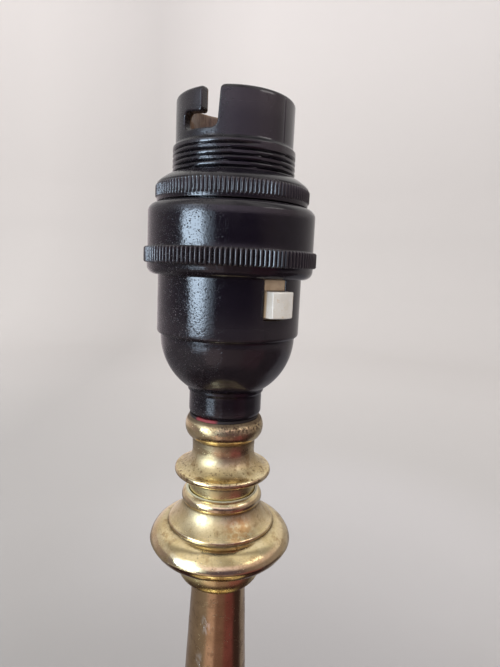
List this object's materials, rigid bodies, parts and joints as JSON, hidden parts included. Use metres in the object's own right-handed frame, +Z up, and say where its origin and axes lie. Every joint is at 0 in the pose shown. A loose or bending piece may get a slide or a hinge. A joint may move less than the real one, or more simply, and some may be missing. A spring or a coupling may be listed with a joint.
{
  "type": "table lamp",
  "caption": "Turned brass column table lamp on a round stepped base, with a switched moulded bayonet lampholder, knurled rings, press bar and sprung contacts.",
  "frame": {"origin": "on the table, under the middle of the round base", "axes": "+Z up along the column, -Y towards the front view, +Y towards the cord inlet"},
  "size_m": [0.118, 0.118, 0.2962],
  "materials": {
    "bakelite": "moulded phenolic, glossy, dusty and lightly scratched",
    "insert": "brown moulded phenolic",
    "cream": "cream moulding, slightly yellowed",
    "ivory": "ivory moulding, satin, stained at one edge",
    "fibre": "red vulcanised fibre",
    "brass": "polished, aged and lightly pitted",
    "contact_brass": "plain brass",
    "steel": "zinc plated",
    "iron": "rough casting",
    "rubber": "black bush",
    "baize": "green baize"
  },
  "bodies": {
    "stand": {"bayonet_skirt": "bakelite", "coupling_ring": "bakelite", "lower_body": "bakelite", "contact_block": "insert", "switch_block": "cream", "fibre_washer": "fibre", "top_nozzle": "brass", "upper_knop": "brass", "column": "brass", "base_collar": "brass", "base_shell": "brass", "rocker_bracket": "contact_brass", "live_blade": "contact_brass", "neutral_blade": "contact_brass", "terminal_live": "contact_brass", "terminal_neutral": "contact_brass", "terminal_screws": "contact_brass", "block_screws": "contact_brass", "detent_spring": "contact_brass", "plunger_spring_live": "steel", "plunger_spring_neutral": "steel", "rocker_pin": "steel", "tie_tube": "steel", "base_nut": "steel", "base_washer": "steel", "bottom_plate": "steel", "base_weight": "iron", "cord_bush": "rubber", "baize_pad": "baize"},
    "push_bar": {"push_bar": "ivory"},
    "rocker": {"rocker": "contact_brass"},
    "plunger_live": {"plunger_live": "contact_brass"},
    "plunger_neutral": {"plunger_neutral": "contact_brass"},
    "shade_ring": {"shade_ring": "bakelite"}
  },
  "joints": [
    {"name": "bar_press", "type": "slide", "parent": "stand", "child": "push_bar", "axis": [-0.5878, 0.809, 0], "range_m": [0, 0.0032], "deforming": ["detent_spring"]},
    {"name": "rocker_tip", "type": "hinge", "parent": "stand", "child": "rocker", "pos_m": [0, 0, 0.26045], "axis": [0.809, 0.5878, 0], "range_deg": [0, 40.92]},
    {"name": "plunger_live_press", "type": "slide", "parent": "stand", "child": "plunger_live", "axis": [0, 0, -1], "range_m": [0, 0.0035], "stiffness_N_per_m": 900, "springref_m": -0.002, "deforming": ["plunger_spring_live"]},
    {"name": "plunger_neutral_press", "type": "slide", "parent": "stand", "child": "plunger_neutral", "axis": [0, 0, -1], "range_m": [0, 0.0035], "stiffness_N_per_m": 900, "springref_m": -0.002, "deforming": ["plunger_spring_neutral"]},
    {"name": "shade_ring_lift", "type": "slide", "parent": "stand", "child": "shade_ring", "axis": [0, 0, 1], "range_m": [0, 0.024]}
  ],
  "couplings": [
    {"joint": "rocker_tip", "follows": "bar_press", "rad_per_m": 222.64}
  ]
}
